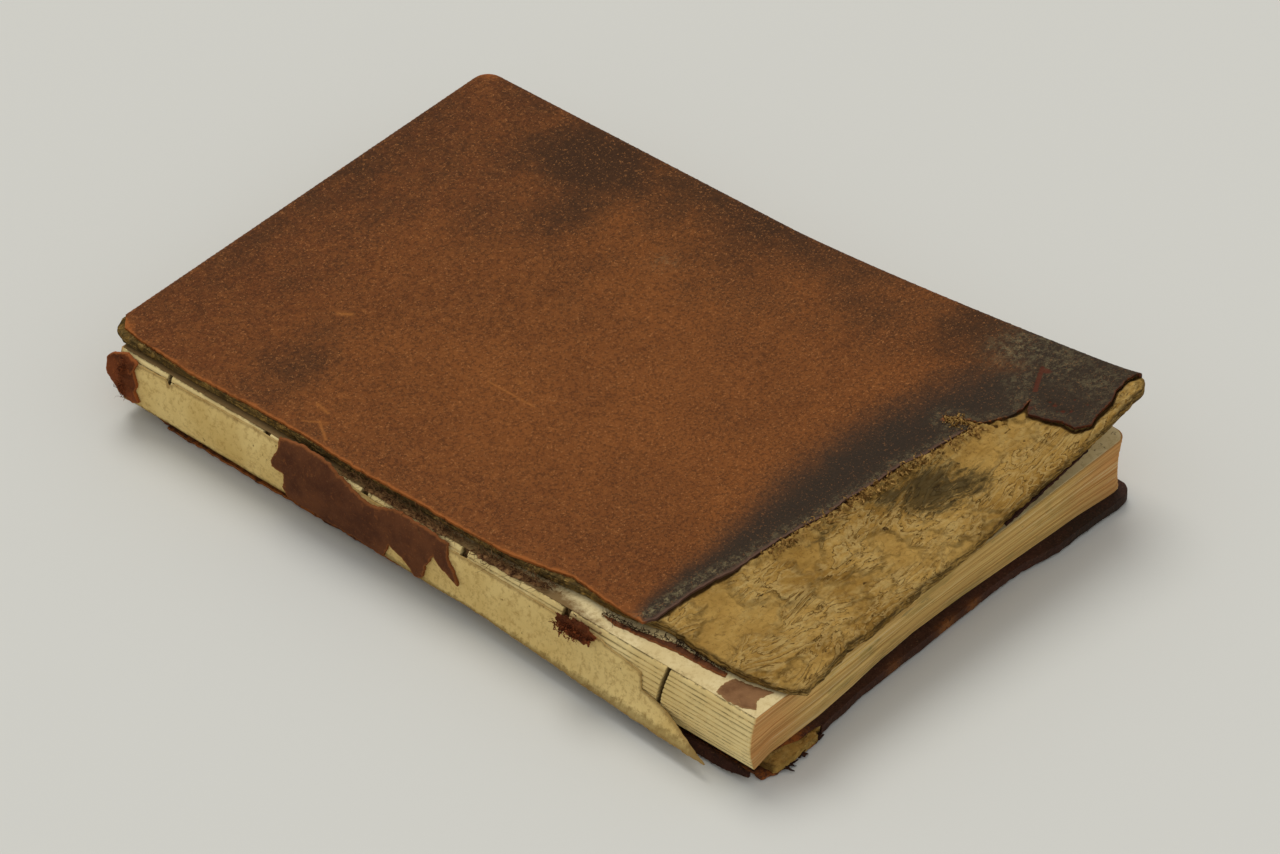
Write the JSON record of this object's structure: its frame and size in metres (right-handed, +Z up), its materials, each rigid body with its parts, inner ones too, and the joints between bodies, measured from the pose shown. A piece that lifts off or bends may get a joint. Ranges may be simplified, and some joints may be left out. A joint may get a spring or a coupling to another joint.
{
  "type": "antique leather book",
  "caption": "Worn leather-bound book lying closed, with two hinged covers, sewn pages, a bared paper-lined spine and torn cover leather.",
  "frame": {"origin": "under the middle of the whole book, on the table it lies on", "axes": "+X from the spine to the fore-edge, +Y from the tail to the head, +Z up through the front cover"},
  "size_m": [0.1818, 0.2638, 0.0405],
  "materials": {
    "pages": "browned page edges, dry and matt",
    "cord": "matt hemp",
    "endpaper": "yellowed, matt",
    "spine_paper": "cream, foxed, matt",
    "spine_leather": "crumbling, matt",
    "raw_leather": "red rotted, powdery",
    "cloth_remains": "frayed, matt",
    "pasteboard": "delaminated, fibrous",
    "front_leather": "worn calf, low sheen",
    "back_leather": "dark, worn, low sheen"
  },
  "bodies": {
    "pages": {"text_block": "pages", "sewing_cords": "cord", "back_flyleaf": "endpaper", "front_flyleaf": "endpaper", "spine_lining": "spine_paper", "spine_leather": "spine_leather", "head_cap_leather": "spine_leather", "leather_tuft": "raw_leather", "joint_cloth": "cloth_remains", "joint_fibres": "cloth_remains", "joint_leather_strip": "raw_leather", "shoulder_scrap": "raw_leather"},
    "front_cover": {"front_board": "pasteboard", "front_cover_leather": "front_leather", "front_pastedown": "endpaper", "front_tail_turn_in": "raw_leather"},
    "back_cover": {"back_board": "pasteboard", "back_cover_leather": "back_leather", "back_pastedown": "endpaper"}
  },
  "joints": [
    {"name": "front_cover_hinge", "type": "hinge", "parent": "pages", "child": "front_cover", "pos_m": [-0.08209, -0.00169, 0.0276], "axis": [0.0157, -0.9999, 0], "range_deg": [0, 180]},
    {"name": "back_cover_hinge", "type": "hinge", "parent": "pages", "child": "back_cover", "pos_m": [-0.08303, 0.00084, 0.0019], "axis": [0, 1, 0], "range_deg": [0, 180]}
  ]
}
